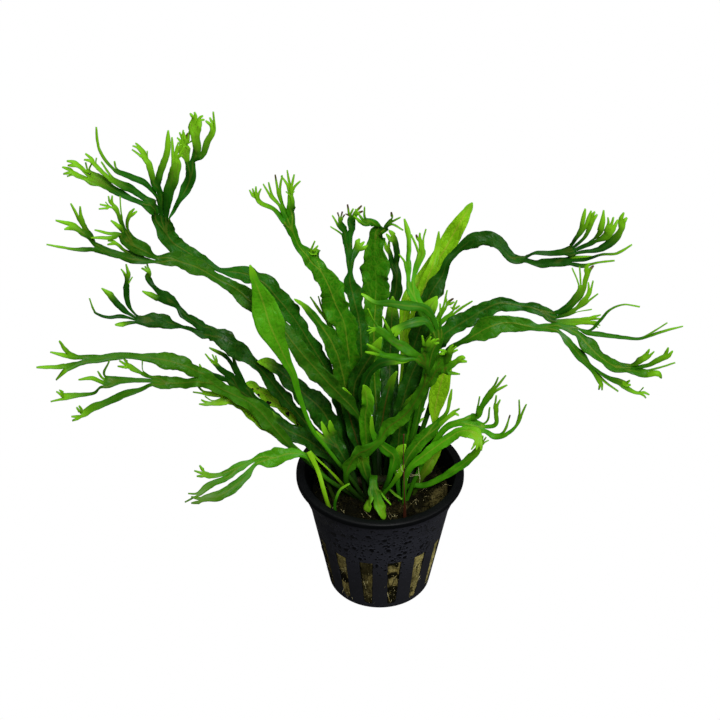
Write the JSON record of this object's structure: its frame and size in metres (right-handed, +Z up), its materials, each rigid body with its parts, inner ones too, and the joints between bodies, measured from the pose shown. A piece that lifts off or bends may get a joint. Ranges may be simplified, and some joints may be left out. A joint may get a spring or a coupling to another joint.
{
  "type": "potted java fern",
  "caption": "Aquatic fern with forked, crested fronds growing from a creeping rhizome in a slotted black net pot filled with mineral wool.",
  "frame": {"origin": "centre of the underside of the pot, on the surface it stands on", "axes": "+Z up along the axis of the pot, -Y towards the front of the plant as pictured, +X to its right, along its widest spread"},
  "size_m": [0.2012, 0.099, 0.178],
  "materials": {
    "pot_plastic": "black injection-moulded plastic, satin, with fine bead-like relief on the outside",
    "mineral_wool": "wet fibrous mineral wool, yellow-brown with dark dirt",
    "rhizome": "green-brown creeping stem with dark hair roots",
    "frond_dark": "mature blade, deep green, waxy and slightly blistered",
    "frond_green": "mid-green blade with a yellow-green midrib, waxy",
    "frond_bright": "young blade, fresh green, waxy",
    "frond_pale": "translucent yellow-green blade with a net of veins",
    "stalk_dark": "dry dark red-brown stalk"
  },
  "bodies": {
    "root": {"net_pot": "pot_plastic", "mineral_wool": "mineral_wool", "rhizome": "rhizome", "frond_left_tall": "frond_dark", "frond_left_middle": "frond_green", "frond_left_dark": "frond_dark", "frond_left_tines": "frond_dark", "frond_left_long": "frond_bright", "frond_left_small": "frond_pale", "leaf_spotted": "frond_pale", "frond_low_left": "frond_bright", "frond_upright": "frond_green", "leaf_lance": "frond_bright", "leaf_left_blade": "frond_green", "frond_left_slender": "frond_green", "leaf_dark_left": "frond_dark", "leaf_dark_low": "frond_dark", "leaf_dark_crest": "frond_dark", "leaf_dark_inner": "frond_dark", "leaf_dark_core": "frond_dark", "leaf_dark_front": "frond_dark", "frond_centre_crest": "frond_dark", "frond_big_curl": "frond_green", "frond_back_curl": "frond_dark", "frond_bright_crest": "frond_bright", "leaf_translucent": "frond_pale", "leaf_pale_narrow": "frond_pale", "frond_right_tall": "frond_dark", "frond_right_upper": "frond_dark", "frond_right_lower": "frond_green", "frond_right_small": "frond_bright", "leaf_dark_fold": "frond_dark", "frond_reaching_left": "frond_green", "frond_front_fan": "frond_bright", "leaf_front_bright": "frond_bright", "leaf_front_under": "frond_green", "leaf_front_strap": "frond_green", "leaf_front_curl": "frond_green", "leaf_front_sprout": "frond_bright", "leaf_front_lobed": "frond_bright", "leaf_front_small": "frond_green", "petiole_cut": "frond_pale", "petiole_thin": "frond_pale", "leaf_front_left": "frond_green", "stalk_dark": "stalk_dark", "leaf_right_pale": "frond_pale", "frond_right_short": "frond_green", "frond_right_crest": "frond_bright", "leaf_right_lobed": "frond_bright", "frond_right_low": "frond_bright", "leaf_dark_arch": "frond_dark", "leaf_dark_right": "frond_dark", "frond_dark_low_right": "frond_dark", "leaf_centre_cross": "frond_dark", "leaf_yellow_back": "frond_pale", "leaf_pale_back": "frond_pale", "leaf_back_left": "frond_green", "leaf_back_middle": "frond_dark", "leaf_back_upright": "frond_dark", "leaf_back_right": "frond_green"}
  },
  "joints": []
}
